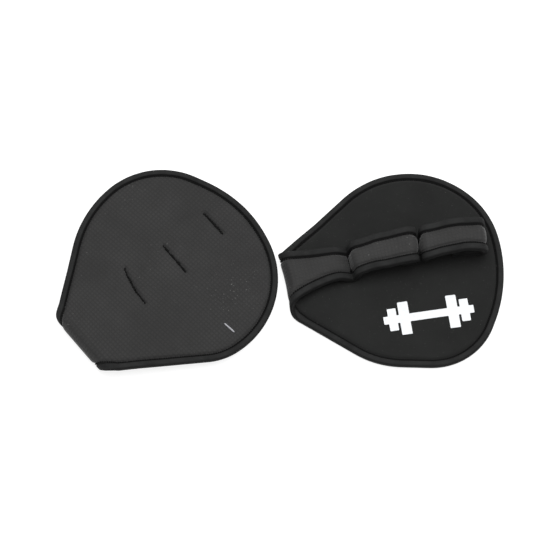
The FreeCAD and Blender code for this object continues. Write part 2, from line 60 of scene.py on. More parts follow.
SHEET_HALF = 2.1  # half of the sheet's thickness
SHEET_HALF_AT_EDGE = 1.75  # the same, where the binding pinches the sheet
BINDING_HALF = 2.6  # half of the binding's thickness
PAD_BINDING_WIDTH, STRAP_BINDING_WIDTH = 4.9, 5.8  # with the stitched groove along its inner edge
FLEX_LINES = {"palm": ((7.25, -35.2), (139.0, -17.0)), "finger": ((7.25, 27.5), (139.0, 19.0))}
BEND_START, BEND_END = -1.5, 10.0  # past a flap's flex line: where its own piece starts, and a distance further out

# The strap. Its foot is where it is sewn down, its crown is where it passes over a finger.
SEAM_HEIGHT = 7.3  # of the strap's middle at its foot
LOOP_RISE = 12.0  # how far above its foot it has its crown's full width
FOOT_HALF_WIDTH, FOOT_ASIDE = 9.3, 0.7
FIRST_FOOT_WIDER, FIRST_FOOT_ASIDE, FIRST_FOOT_REACH = 2.2, -0.2, 10  # what the first seam's foot adds
CROWN_HALF_WIDTHS = ((78, 95), (12.0, 11.4))  # at these x, this half width
CROWN_ASIDE = ((46, 60, 80, 95, 115, 128), (0, 1.5, 1.5, 1.2, 1.2, -0.9))  # at these x, this far aside
NECK_KNOTS = (12.7, 23.7)  # how far past the fold the tongue's last two widths are
VALLEY_HALF_WIDTH, VALLEY_DEPTH, VALLEY_RADIUS, VALLEY_EDGE_RADIUS = 6.5, 1.5, 2.9, 3.0
LEFT_END_X, LEFT_END_RADIUS = 127.0, 2.99  # of the left strap's last turn
END_SKEW, END_SKEW_START, END_SKEW_REACH = 0.12, 55, 25  # the loops' far ends aren't square to the strap

FOLD_REACH = 42  # how far from the fold its own lean and hollow are felt
FOLD_MIDDLE_Y, FOLD_HALF_SPAN, FOLD_CLIP = 2, 20, 26

SIDES = {
    "right": {
        "place": (1.91, -8.64, 0.0, 12.45),
        "up": 1,
        "fold_radius": 4.65,
        "droop": {"palm": 0.0, "finger": 0.0},
        "seam_x": {"a": 44.0, "b": 82.3, "c": 114.5},
        # each row of stitches: its two ends across the strap, its slant, its shift and its bow
        "seam_rows": {
            "a": (-12.5, 12.5, 0.02, 0.0, 0.0),
            "b": (-10.5, 10.5, 0.02, 0.0, 0.0),
            "c": (-9.7, 9.7, 0.02, 0.0, 0.0),
        },
        "strap_x": (44.0, 108.5),
        "strap_mid_y": (2.4, 1.4),
        # the teardrop's corners (x, y, radius), from the fold's lower end, anticlockwise
        "corners": [
            (0.0, -22.2, 0.0),
            (44.6, -65.9, 57.3),
            (105.4, -80.8, 41.8),
            (140.1, -27.6, 96.1),
            (138.7, 53.2, 57.2),
            (66.9, 61.0, 59.9),
            (27.4, 35.8, 89.9),
            (0.0, 20.3, 0.0),
        ],
        # the y of the strap's edges at the fold's outermost line, above the fold's start, and further on
        "neck": {1: (20.1, 18.3, 16.3, 15.4), -1: (-20.0, -14.5, -10.0, -8.0)},
        "fold_slant": 0.0,
        "fold_hollow": 1.6,
        "fold_set_back": 0.4,
    },
    "left": {
        "place": (-126.34, -54.08, 15.9, 47.54),
        "up": -1,
        "fold_radius": 5.35,
        "droop": {"palm": 4.0, "finger": 2.0},
        "seam_x": {"a": 52.0, "b": 83.5, "c": 118.5},
        "seam_rows": {
            "a": (-12.6, 14.0, 0.33, 1.2, -1.2),
            "b": (-13.1, 10.2, 0.155, 0.3, 0.0),
            "c": (-8.6, 10.2, 0.13, -0.9, 0.0),
        },
        "strap_x": (52.0, 112.5),
        "strap_mid_y": (0.6, -6.0),
        "corners": [
            (0.0, -24.7, 0.0),
            (56.3, -73.6, 39.6),
            (115.5, -83.9, 59.2),
            (143.9, -11.7, 85.2),
            (124.7, 57.6, 48.0),
            (66.5, 61.2, 72.9),
            (31.8, 39.5, 90.0),
            (0.0, 20.5, 0.0),
        ],
        "neck": {1: (24.3, 21.0, 15.0, 13.2), -1: (-20.9, -17.5, -9.5, -8.0)},
        "fold_slant": 0.14,
        "fold_hollow": 0.0,
        "fold_set_back": 1.5,
    },
}


def strap_corners(side):
    """The strap's middle line in profile, from the fold's start: (x, height, radius) of each corner."""
    radius, seams, end_x = (SIDES[side][key] for key in ("fold_radius", "seam_x", "strap_x"))
    low, crown = SEAM_HEIGHT, BINDING_HALF + 2 * radius
    turn = [
        (BINDING_HALF + radius, BINDING_HALF, 0),
        (BINDING_HALF, BINDING_HALF, radius),
        (BINDING_HALF, crown, radius),
    ]
    if side == "left":
        for seam in (seams["a"], seams["b"]):
            turn += [
                (seam - VALLEY_HALF_WIDTH, crown, VALLEY_EDGE_RADIUS),
                (seam, low - VALLEY_DEPTH, VALLEY_RADIUS),
                (seam + VALLEY_HALF_WIDTH, crown, VALLEY_EDGE_RADIUS),
            ]
        turn += [(LEFT_END_X, crown, LEFT_END_RADIUS), (LEFT_END_X, low, LEFT_END_RADIUS)]
        return turn + [(end_x[1], low, 0)]
    return turn + [
        (35.0, crown + 0.4, 8.0),
        (44.3, low - 1.6, 2.9),
        (47.0, 17.4, 3.0),
        (75.6, 19.5, 30.0),
        (84.3, 19.5, 2.9),
        (84.3, 12.9, 2.9),
        (76.7, 12.9, 2.8),
        (76.7, low, 2.8),
        (90.2, low, 3.2),
        (90.6, 19.0, 3.0),
        (110.0, 21.6, 80.0),
        (127.6, 20.5, 3.4),
        (128.6, low, 4.6),
        (end_x[1], low, 0),
    ]


# ---------------------------------------------------------------- curves in the plane


def rounded(corners, step):
    """Points about step apart along a polyline whose corners (x, y, radius) are rounded."""
    out = []
    last = len(corners) - 1
    for i, (x, y, radius) in enumerate(corners):
        point = np.array((x, y), float)
        if radius <= 0 or i in (0, last):
            out.append(point)
            continue
        back = np.array(corners[i - 1][:2]) - point
        ahead = np.array(corners[i + 1][:2]) - point
        back, ahead = back / np.linalg.norm(back), ahead / np.linalg.norm(ahead)
        half = math.acos(np.clip(back @ ahead, -1, 1)) / 2
        reach = radius / math.tan(half)
        bisector = (back + ahead) / np.linalg.norm(back + ahead)
        centre = point + bisector * radius / math.sin(half)
        first, final = point + back * reach - centre, point + ahead * reach - centre
        sweep = math.pi - 2 * half
        count = max(4, int(sweep * radius / step))
        for k in range(count + 1):
            t = k / count
            v = (math.sin((1 - t) * sweep) * first + math.sin(t * sweep) * final) / math.sin(sweep)
            out.append(centre + v)
    return evenly(np.array(out), step)


def lengths_along(points):
    return np.concatenate([[0.0], np.cumsum(np.linalg.norm(np.diff(points, axis=0), axis=1))])


def evenly(points, step):
    """The same line, with points an even distance apart."""
    along = lengths_along(points)
    keep = np.concatenate([[True], np.diff(along) > 1e-9])
    points, along = points[keep], along[keep]
    wanted = np.linspace(0, along[-1], max(2, round(along[-1] / step) + 1))
    return np.stack([np.interp(wanted, along, points[:, k]) for k in range(points.shape[1])], axis=1)


def unit(v):
    return v / np.maximum(np.linalg.norm(v, axis=-1, keepdims=True), 1e-12)


def smoothstep(t):
    t = np.clip(t, 0, 1)
    return t * t * (3 - 2 * t)


def smooth_through(x, knots):
    """A smooth curve through knots (x, y), read at x."""
    kx, ky = np.array(knots, float).T
    slopes = np.diff(ky) / np.diff(kx)
    tangent = np.concatenate([[slopes[0]], (slopes[1:] + slopes[:-1]) / 2, [slopes[-1]]])
    i = np.clip(np.searchsorted(kx, x) - 1, 0, len(kx) - 2)
    width = kx[i + 1] - kx[i]
    t = np.clip((x - kx[i]) / width, 0, 1)
    a, b = 2 * t**3 - 3 * t**2 + 1, t**3 - 2 * t**2 + t
    c, d = -2 * t**3 + 3 * t**2, t**3 - t**2
    return a * ky[i] + b * width * tangent[i] + c * ky[i + 1] + d * width * tangent[i + 1]


def distance_to(points, line):
    """How far each point is from a polyline."""
    best = np.full(len(points), 1e9)
    a, b = line[:-1], line[1:]
    span = b - a
    size = np.maximum((span**2).sum(1), 1e-12)
    for start in range(0, len(points), 2000):
        p = points[start : start + 2000, None, :]
        t = np.clip(((p - a) * span).sum(2) / size, 0, 1)
        near = a + span * t[..., None]
        best[start : start + 2000] = np.sqrt(((p - near) ** 2).sum(2)).min(1)
    return best


def offset(line, distance):
    """A line moved to the left of its direction of travel."""
    along = unit(np.gradient(line, axis=0))
    return line + np.stack([-along[:, 1], along[:, 0]], axis=1) * distance


# ---------------------------------------------------------------- a grip's pattern and its folded shape


PROFILE_STEP, OUTLINE_STEP = 0.12, 1.0
SOLVING_ROUNDS = 8
DROOP_REACH = 8  # a leaning flap's bend reaches this far to each side of its flex line
SETTLED_PAST_FOLD, WAVES_PAST_FOLD = 22, 14  # how far past the fold a flap has all its lean, all its waves


class Grip:
    """The flat pattern of one grip, and where each of its points lies once it is folded and sewn."""

    def __init__(self, side):
        self.side = side
        for key, value in SIDES[side].items():
            setattr(self, key, value)
        self.fold_x = self.fold_radius + BINDING_HALF
        self.path = rounded(strap_corners(side), PROFILE_STEP)
        self.path_s = lengths_along(self.path)
        self.length = self.path_s[-1]
        self.bends = {flap: self.bend_table(angle) for flap, angle in self.droop.items()}
        self.make_outline()

    # the flat pattern

    def strap_mid(self, x):
        (x0, x1), (y0, y1) = self.strap_x, self.strap_mid_y
        return y0 + (y1 - y0) * (x - x0) / (x1 - x0)

    def strap_edge(self, s, sign):
        """The Y of the strap's upper (+1) or lower (-1) edge, s along from the fold's start."""
        quarter = self.fold_radius * math.pi / 2
        seam_s = self.s_at_x(self.strap_x[0])
        fold, upper, neck, tongue = self.neck[sign]
        x = np.interp(s, self.path_s, self.path[:, 0])
        z = np.interp(s, self.path_s, self.path[:, 1])
        lift = np.clip((z - SEAM_HEIGHT) / LOOP_RISE, 0, 1)
        foot, foot_aside = self.foot(x)
        half = foot + (np.interp(x, *CROWN_HALF_WIDTHS) - foot) * lift
        aside = np.interp(x, *CROWN_ASIDE) + foot_aside * (1 - lift)
        beyond = self.strap_mid(x) + aside + sign * half
        seam_half, seam_aside = self.foot(self.strap_x[0])
        seam_y = self.strap_mid(self.strap_x[0]) + seam_aside + sign * seam_half
        knots = [(back, self.edge_beside_fold(self.fold_x - back, sign)) for back in (-4, 0)]
        knots += [(quarter, fold), (2 * quarter, upper), (2 * quarter + NECK_KNOTS[0], neck)]
        knots += [(2 * quarter + NECK_KNOTS[1], tongue), (seam_s, seam_y)]
        wobble = 0.2 * np.sin(s / 7.3 + sign) + 0.15 * np.sin(s / 3.1 + 2 * sign)
        settled = smoothstep((s - seam_s + 10) / 12)
        return np.where(s < seam_s, smooth_through(s, knots), beyond) + wobble * settled

    def foot(self, x):
        """Half the strap's width where it is sewn down, and how far it lies to one side."""
        first = 1 - smoothstep((x - self.strap_x[0]) / FIRST_FOOT_REACH)
        return FOOT_HALF_WIDTH + FIRST_FOOT_WIDER * first, FOOT_ASIDE + FIRST_FOOT_ASIDE * first

    def s_at_x(self, x):
        """How far along the strap its first stretch reaches x."""
        tongue = self.path_s > self.fold_radius * math.pi
        first = np.argmax(tongue & (self.path[:, 0] >= x))
        return self.path_s[first]

    def strap_seam_u(self, row):
        """Where on the pattern a seam crosses the strap, if it shows there."""
        if row == "a" or (row == "b" and self.side == "left"):
            return self.fold_x - self.s_at_x(self.seam_x[row])
        return None

    def make_outline(self):
        """The pattern's closed outline in (u, y), anticlockwise from the strap's lower end."""
        pad = rounded(self.corners, OUTLINE_STEP)
        pad[:, 0] = self.unfolded(pad[:, 0], pad[:, 1])
        pad = pad[pad[:, 0] > self.fold_x + 0.5]
        s = np.linspace(0, self.length, round(self.length / OUTLINE_STEP) + 1)
        low = np.stack([self.fold_x - s, self.strap_edge(s, -1)], axis=1)
        top = np.stack([self.fold_x - s, self.strap_edge(s, 1)], axis=1)
        self.outline = evenly(np.concatenate([low[::-1], pad, top]), OUTLINE_STEP)

    def unfolded(self, x, y):
        """The u of pad points whose folded places are x and y."""
        u = x
        for _ in range(SOLVING_ROUNDS):
            u = x - self.fold_shift(self.fold_x - u, y)
        return u

    def edge_beside_fold(self, u, sign):
        """The Y of the pad's upper (+1) or lower (-1) edge at u, where it runs straight to the fold."""
        (x0, y0, _), (x1, y1, _) = (self.corners[0], self.corners[1]) if sign < 0 else self.corners[:-3:-1]
        y = y0
        for _ in range(SOLVING_ROUNDS):
            x = u + self.fold_shift(self.fold_x - u, y)
            y = y0 + (y1 - y0) * (x - x0) / (x1 - x0)
        return y

    def binding_width(self, u):
        """How wide the binding is at pattern coordinate u: the strap's is wider than the pad's."""
        extra = STRAP_BINDING_WIDTH - PAD_BINDING_WIDTH
        return PAD_BINDING_WIDTH + extra * smoothstep((self.fold_x - u + 4) / 14)

    def inset(self, line, share):
        """A stretch of the outline moved inwards by a share of the binding's width."""
        along = unit(np.gradient(line, axis=0))
        inward = np.stack([-along[:, 1], along[:, 0]], axis=1)
        return line + inward * (share * self.binding_width(line[:, 0]))[:, None]

    def past_flex(self, flap, p):
        """How far points (u, y) are past a flap's flex line, and the line's outward direction."""
        near, far = (np.array(q, float) for q in FLEX_LINES[flap])
        along = (far - near) / np.linalg.norm(far - near)
        out = np.array((-along[1], along[0])) * (1 if flap == "finger" else -1)
        return (p - near) @ out, out

    # the folded shape

    def bend_table(self, angle):
        """For a flap that leans: how far each distance past the flex line moves outwards and down."""
        q = np.linspace(-9, 90, 500)
        lean = math.radians(angle) * smoothstep((q + DROOP_REACH) / (2 * DROOP_REACH))
        step = q[1] - q[0]
        inwards = np.cumsum(np.cos(lean) - 1) * step
        down = np.cumsum(np.sin(lean)) * step
        return q, inwards, down

    def lie(self, p):
        """The middle of the sheet at pattern points (u, y), in the grip's own axes."""
        u, y = p[:, 0], p[:, 1]
        s = self.fold_x - u
        x = np.where(s > 0, np.interp(s, self.path_s, self.path[:, 0]), u)
        z = np.where(s > 0, np.interp(s, self.path_s, self.path[:, 1]), BINDING_HALF)
        x = x + self.fold_shift(s, y) + self.end_skew(s, x, y)
        settled = smoothstep(-s / SETTLED_PAST_FOLD)
        for flap, (q_table, inwards, down) in self.bends.items():
            q, out = self.past_flex(flap, p)
            moved = np.interp(q, q_table, inwards) * settled
            x = x + moved * out[0]
            y = y + moved * out[1]
            z = z + np.interp(q, q_table, down) * settled
        z = z + self.waviness(p) * smoothstep(-s / WAVES_PAST_FOLD)
        return np.stack([x, y, z], axis=1)

    def fold_shift(self, s, y):
        """How far the fold's line, which is neither straight nor square, moves the sheet beside it."""
        near = smoothstep(1 - np.abs(s - self.fold_radius * math.pi / 2) / FOLD_REACH)
        y = np.clip(y, -FOLD_CLIP, FOLD_CLIP)
        hollow = self.fold_hollow * ((y - FOLD_MIDDLE_Y) / FOLD_HALF_SPAN) ** 2
        return near * (self.fold_slant * (y - 1) + self.fold_set_back - hollow)

    def end_skew(self, s, x, y):
        """How far along X the loops' ends stray, as they aren't square to the strap."""
        further = smoothstep((x - END_SKEW_START) / END_SKEW_REACH)
        return END_SKEW * (y - self.strap_mid(x)) * further * (s > 0)

    def waviness(self, p):
        """The gentle unevenness of a soft sheet that lies free."""
        u, y = p[:, 0], p[:, 1]
        swell = 0.5 + 0.5 * np.sin(u / 21 + 0.7) * np.cos(y / 17 - 0.4)
        ripple = 0.5 + 0.5 * np.sin(u / 9.5 + y / 13 + 1.1)
        return (0.9 * swell + 0.25 * ripple) * (1 if self.side == "right" else -0.6)

    def normal(self, p):
        """The direction of the sheet's palm side at pattern points."""
        step = 0.15
        du = self.lie(p + (step, 0)) - self.lie(p - (step, 0))
        dy = self.lie(p + (0, step)) - self.lie(p - (0, step))
        return unit(np.cross(dy, du))

    def at(self, p, height):
        """Pattern points raised by height above the middle of the sheet: positive on the palm side."""
        p = np.asarray(p, float)
        return self.lie(p) + self.normal(p) * np.reshape(height, (-1, 1))

    def to_row(self, points):
        """Points in the grip's own axes as metres in the row frame."""
        px, py, pz, turn = self.place
        c, s = math.cos(math.radians(turn)), math.sin(math.radians(turn))
        x, y, z = points[:, 0], points[:, 1], points[:, 2]
        return np.stack([px + x * c - y * s, py + x * s + y * c, pz + self.up * z], axis=1) * MM


# ---------------------------------------------------------------- meshes


UV_PER_MM = 0.01


def make_object(name, grip, points, faces, uv=None, materials=(), face_slots=None, sharp=40):
    """A mesh object from points in the grip's own axes. Its UV map holds its places on the pattern."""
    mesh = bpy.data.meshes.new(name)
    if grip.up < 0:
        faces = [f[::-1] for f in faces]
    mesh.from_pydata(grip.to_row(np.asarray(points, float)).tolist(), [], faces)
    mesh.validate()
    if uv is not None:
        layer = mesh.uv_layers.new(name="pattern")
        loop_vertex = np.empty(len(mesh.loops), dtype=np.int32)
        mesh.loops.foreach_get("vertex_index", loop_vertex)
        layer.data.foreach_set("uv", (np.asarray(uv, float)[loop_vertex] * UV_PER_MM).ravel())
    for material in materials:
        mesh.materials.append(material)
    if face_slots is not None:
        mesh.polygons.foreach_set("material_index", face_slots)
    mesh.polygons.foreach_set("use_smooth", [True] * len(mesh.polygons))
    mesh.set_sharp_from_angle(angle=math.radians(sharp))
    obj = bpy.data.objects.new(name, mesh)
    bpy.context.scene.collection.objects.link(obj)
    return obj


def inside(points, polygon):
    """Which points are inside a closed polygon."""
    x, y = points[:, 0:1], points[:, 1:2]
    ax, ay = polygon[:, 0], polygon[:, 1]
    bx, by = np.roll(ax, -1), np.roll(ay, -1)
    crosses = (ay > y) != (by > y)
    at_x = ax + (y - ay) * (bx - ax) / np.where(by == ay, 1e-12, by - ay)
    return (crosses & (x < at_x)).sum(1) % 2 == 1


PANEL_INSET = 0.5  # how far inside the binding's edge the panel's own edge is
RING_INSETS = (2.2, 4.3, 4.8, 5.3, 5.8, 6.4, 7.2, 8.4)
PAD_GRID = (141, -78, 62, 2.2)  # far end, lower and upper end, step
STRAP_GRID = (-34, 28, 0.8, 1.7)  # lower and upper end, step along the strap and across it
SEAM_GRID = (3.3, 0.55, 17.6, 1.1)  # half width and step across a seam, half length and step along it
SEAM_GRID_MARGIN = 0.8  # no other grid's points this close to a seam's own


def grid(across, along):
    return np.stack(np.meshgrid(across, along), -1).reshape(-1, 2)


def pattern_points(grip):
    """Points all over the pattern: closer together beside the binding, along the loops and at the seams."""
    outline = offset(grip.outline, PANEL_INSET)
    rings = [offset(grip.outline, inset) for inset in RING_INSETS]
    far, low, high, step = PAD_GRID
    grids = [grid(np.arange(grip.fold_x, far, step), np.arange(low, high, step))]
    low, high, step, cross_step = STRAP_GRID
    strap_u = np.arange(grip.fold_x - grip.length, grip.fold_x, step)
    grids.append(grid(strap_u, np.arange(low, high, cross_step)))
    fine = []
    half, step, half_length, cross_step = SEAM_GRID
    across = np.arange(-half, half + 0.1, step)
    along = np.arange(-half_length, half_length + 0.1, cross_step)
    for row, x in grip.seam_x.items():
        near = grid(across, along)
        near[:, 0] += seam_lean(grip, row, near[:, 1])
        fine.append(near + (x, grip.strap_mid(x)))
    fine = np.concatenate(fine)
    return outline, np.concatenate(rings), np.concatenate(grids), fine


def seam_line(grip, flap):
    """Where a flap's piece meets the middle piece: just inside the stretch that bends."""
    near, far = (np.array(q, float) for q in FLEX_LINES[flap])
    _, out = grip.past_flex(flap, near[None])
    start, end = near + out * BEND_START, far + out * BEND_START
    along = (end - start) / np.linalg.norm(end - start)
    line = evenly(np.stack([start - along * 2, end + along * 12]), 1.5)
    return line[inside(line, offset(grip.outline, PANEL_INSET))]


RING_CLEARANCE, LINE_CLEARANCE = 0.45, 0.5  # how far points stay from the outline and from a flap's line
PAD_GRID_CLEARANCE, STRAP_GRID_CLEARANCE = 8.6, 0.6


def triangulate(grip):
    """The whole pattern as triangles, split along both flaps' seam lines."""
    closed, rings, grids, fine = pattern_points(grip)
    lines = {flap: seam_line(grip, flap) for flap in FLEX_LINES}
    loop = np.vstack([closed, closed[:1]])
    rings = rings[inside(rings, closed) & (distance_to(rings, loop) > RING_CLEARANCE)]
    grids = grids[inside(grids, closed)]
    edge_distance = distance_to(grids, loop)
    on_pad = grids[:, 0] >= grip.fold_x
    in_strap = ~on_pad & (edge_distance > STRAP_GRID_CLEARANCE)
    grids = grids[(edge_distance > PAD_GRID_CLEARANCE) | in_strap]
    fine = fine[inside(fine, closed)]
    near_fine = np.zeros(len(grids), bool)
    half, _, half_length, _ = (extent + SEAM_GRID_MARGIN for extent in SEAM_GRID)
    for row, x in grip.seam_x.items():
        away = grids - (x, grip.strap_mid(x))
        away[:, 0] -= seam_lean(grip, row, away[:, 1])
        near_fine |= (np.abs(away[:, 0]) < half) & (np.abs(away[:, 1]) < half_length)
    free = np.concatenate([rings, grids[~near_fine], fine])
    for line in lines.values():
        free = free[distance_to(free, line) > LINE_CLEARANCE]
    points, edges = [Vector(p) for p in closed], []
    count = len(closed)
    edges += [(i, (i + 1) % count) for i in range(count)]
    for flap, line in lines.items():
        ends = [int(np.argmin(np.linalg.norm(closed - line[k], axis=1))) for k in (0, -1)]
        start = len(points)
        points += [Vector(p) for p in line]
        chain = [ends[0]] + list(range(start, start + len(line))) + [ends[1]]
        edges += list(zip(chain[:-1], chain[1:]))
    points += [Vector(p) for p in free]
    vertices, _, triangles, _, _, _ = delaunay_2d_cdt(points, edges, [], 1, 1e-4)
    return np.array([tuple(v) for v in vertices]), np.array(triangles)


PINCH_START, PINCH_REACH = -0.2, 3.4  # from the binding's edge: where the sheet swells to its full thickness
GROOVE_DEPTH, GROOVE_WIDTH = 0.8, 0.65  # of the stitched groove beside the binding
STRAP_FULLNESS, STRAP_FULL_AT, FULL_PAST_FOLD = 0.45, 5, 12  # the strap is fuller in its middle
SEAM_DENTS = ((1.15, 1.35), (0.35, 4.5))  # depth and width of a seam's sharp dent and of its soft one
SEAM_FADE_START, SEAM_FADE_REACH = 1.6, 2.2  # how a seam's dent fades out past its ends
STRAP_DENT = (0.9, 1.3)  # depth and width of a seam's dent on the strap's outer side
STRAP_SEAM_HALF = 5.6  # half the length of a seam's row there
STRAP_SEAM_SHIFT = 0.9  # how far that row lies towards the fold from the valley's bottom


def dent(distance, depth, width):
    """A smooth dent's depth at a distance from its middle."""
    return depth * np.exp(-((distance / width) ** 2))


def thickness(grip, p):
    """Half the sheet's thickness at pattern points, on its palm side and on its hand side."""
    edge = distance_to(p, grip.outline) - grip.binding_width(p[:, 0])
    pinch = 1 - smoothstep((edge - PINCH_START) / PINCH_REACH)
    half = SHEET_HALF - (SHEET_HALF - SHEET_HALF_AT_EDGE) * pinch
    hand = half - dent(np.maximum(edge, 0), GROOVE_DEPTH, GROOVE_WIDTH)
    middle = np.clip(edge / STRAP_FULL_AT, 0, 1)
    on_strap = p[:, 0] < grip.fold_x - FULL_PAST_FOLD
    palm = hand + np.where(on_strap, STRAP_FULLNESS * np.sin(middle * math.pi / 2), 0)
    for row, x in grip.seam_x.items():
        dy = p[:, 1] - grip.strap_mid(x)
        du = p[:, 0] - x - seam_lean(grip, row, dy)
        start, end = grip.seam_rows[row][:2]
        along = smoothstep((dy - start + SEAM_FADE_START) / SEAM_FADE_REACH)
        along = along * smoothstep((end + SEAM_FADE_START - dy) / SEAM_FADE_REACH)
        palm = palm - sum(dent(du, *size) for size in SEAM_DENTS) * along
        strap_u = grip.strap_seam_u(row)
        if strap_u is not None:
            palm = palm - dent(p[:, 0] - strap_u - STRAP_SEAM_SHIFT, *STRAP_DENT)
    return palm, hand


def seam_lean(grip, row, v):
    """How far a seam strays from straight across the strap, v along it: it leans and bows a little."""
    start, end, slant, shift, bow = grip.seam_rows[row]
    t = (2 * v - start - end) / (end - start)
    return slant * v + shift + bow * np.clip(1 - t**2, 0, 1)


FLAP_PAST_FOLD = 6  # no flap starts further round the fold than this


def panel_pieces(grip, materials):
    """The laminated sheet in three closed pieces: the middle with the strap, and the two flaps."""
    p, triangles = triangulate(grip)
    palm_half, hand_half = thickness(grip, p)
    middle = p[triangles].mean(1)
    owner = np.zeros(len(triangles), int)
    for number, flap in enumerate(FLEX_LINES, start=1):
        past, _ = grip.past_flex(flap, middle)
        owner[(past > BEND_START) & (middle[:, 0] > grip.fold_x - FLAP_PAST_FOLD)] = number
    palm_points, hand_points = grip.at(p, palm_half), grip.at(p, -hand_half)
    pieces = {}
    for number, part in enumerate(["centre_panel"] + [f"{flap}_flap_panel" for flap in FLEX_LINES]):
        own = triangles[owner == number]
        used, local = np.unique(own, return_inverse=True)
        local = local.reshape(-1, 3)
        count = len(used)
        faces = [tuple(f) for f in local[:, ::-1]]
        faces += [tuple(f) for f in local + count]
        slots = [0] * len(local) + [1] * len(local)
        directed = {(a, b) for f in local for a, b in ((f[0], f[1]), (f[1], f[2]), (f[2], f[0]))}
        rim = [(a, b) for a, b in directed if (b, a) not in directed]
        faces += [(a, b, b + count, a + count) for a, b in rim]
        slots += [2] * len(rim)
        points = np.concatenate([palm_points[used], hand_points[used]])
        uv = np.concatenate([p[used], p[used]])
        name = f"{grip.side}_{part}"
        pieces[part] = make_object(name, grip, points, faces, uv, materials, slots, sharp=50)
    return pieces


BINDING_HALF_SECTION = [  # (share of the width in from the edge, height) of the folded tape, palm side
    (1.0, 0.5),
    (0.98, 0.95),
    (0.92, 1.05),
    (0.84, 1.1),
    (0.78, 1.5),
    (0.72, 2.15),
    (0.64, 2.45),
    (0.45, 2.6),
    (0.24, 2.55),
    (0.1, 2.15),
    (0.02, 1.2),
]


CREASE_PRESS, CREASE_REACH = 0.35, 5  # how much flatter the tape is where the fold is sharpest


def tube_faces(rings, sides, flip=False):
    """The faces of a closed tube through rings of points."""
    faces = []
    for i in range(rings - 1):
        for k in range(sides):
            a, b = i * sides + k, i * sides + (k + 1) % sides
            faces.append((a, a + sides, b + sides, b) if flip else (a, b, b + sides, a + sides))
    ends = [tuple(range(sides))[::-1], tuple((rings - 1) * sides + k for k in range(sides))]
    return faces + [end[::-1] if flip else end for end in ends]


def binding(grip, name, line, material):
    """A folded tape along a stretch of the pattern's outline, from one end of line to the other."""
    half = np.array(BINDING_HALF_SECTION)
    section = np.concatenate([half, [(0, 0)], half[::-1] * (1, -1)])
    s = lengths_along(line)
    crease = grip.fold_x - grip.fold_radius * math.pi / 2
    pressed = 1 - dent(line[:, 0] - crease, CREASE_PRESS, CREASE_REACH)
    rings = []
    for share, h in section:
        swell = 0.955 + 0.03 * np.sin(s / 5.3 + 0.6 * h) + 0.015 * np.sin(s / 1.9)
        rings.append(grip.at(grip.inset(line, share), h * swell * pressed))
    rings = np.stack(rings, axis=1)
    n, m = rings.shape[:2]
    across = lengths_along(section * (PAD_BINDING_WIDTH, 1))
    uv = np.stack([np.repeat(s, m), np.tile(across - across[len(half)], n)], axis=1)
    return make_object(name, grip, rings.reshape(-1, 3), tube_faces(n, m), uv, [material], sharp=60)


STITCH_STATIONS = (  # along a stitch: share of its length, share of its radius, lift in radii
    (0.0, 0.35, -0.9),
    (0.12, 0.85, -0.25),
    (0.5, 1.0, 0.15),
    (0.88, 0.85, -0.25),
    (1.0, 0.35, -0.9),
)


def capsule(a, b, radius, normal, sides=6):
    """Points and faces of one stitch: a short rounded bar from a to b that dips at both ends."""
    along = unit(b - a)
    side = unit(np.cross(along, normal))
    up = np.cross(side, along)
    points = []
    for t, size, lift in STITCH_STATIONS:
        centre = a + (b - a) * t + up * lift * radius
        for k in range(sides):
            angle = 2 * math.pi * k / sides
            points.append(centre + (side * math.cos(angle) + up * math.sin(angle)) * radius * size)
    return points, tube_faces(len(STITCH_STATIONS), sides, flip=True)


def stitch_object(grip, name, runs, material):
    """Stitches as one mesh. runs holds (start, end, radius, normal) of each, in the grip's own axes."""
    points, faces = [], []
    for start, end, radius, normal in runs:
        own, own_faces = capsule(start, end, radius, normal)
        faces += [tuple(k + len(points) for k in f) for f in own_faces]
        points += own
    return make_object(name, grip, points, faces, None, [material], sharp=80)


THREAD_SHARE, THREAD_HEIGHT = 0.89, 1.15  # where on the binding its stitches lie
STITCH_PITCH, STITCH_START, STITCH_COVER, STITCH_RADIUS = 1.4, 0.14, 0.76, 0.56


def line_stitches(grip, line):
    """Stitches of even length along a line of the pattern, on the palm side and on the hand side."""
    runs = []
    s = lengths_along(line)
    count = max(1, int(s[-1] / STITCH_PITCH))
    starts = (np.arange(count) + STITCH_START) * STITCH_PITCH
    for face in (1, -1):
        ends = []
        for position in (starts, starts + STITCH_PITCH * STITCH_COVER):
            p = np.stack([np.interp(position, s, line[:, k]) for k in (0, 1)], axis=1)
            ends.append(grip.at(p, THREAD_HEIGHT * face))
            normals = grip.normal(p) * face
        runs += [(a, b, STITCH_RADIUS, n) for a, b, n in zip(ends[0], ends[1], normals)]
    return runs


def bound_edge(grip, name, line, replaced, body, tape, thread, bends_to=None):
    """A stretch of binding with its row of stitches."""
    stitches = line_stitches(grip, grip.inset(line, THREAD_SHARE))
    pieces = [
        (binding(grip, f"{name}_binding", line, tape), "binding_tape", replaced[0]),
        (stitch_object(grip, f"{name}_stitches", stitches, thread), "sewing_thread", replaced[1]),
    ]
    for obj, slot, nodes in pieces:
        attach(grip, obj, body, bends_to)
        if nodes:
            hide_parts(*nodes)


def attach(grip, obj, body, bends_to=None):
    """Lets a piece ride on the grip's middle; a piece given a flap instead only has its transform baked into
    its mesh.
    """
    if bends_to is None:
        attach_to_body(obj, f"{grip.side}_{body}")
        return
    near, _ = (np.array(q, float) for q in FLEX_LINES[bends_to])
    _, out = grip.past_flex(bends_to, near[None])
    for distance in (BEND_START, BEND_END):
        flat = near + out * distance
        grip.to_row(np.array([[flat[0], flat[1], BINDING_HALF]]))[0]
    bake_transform(obj)


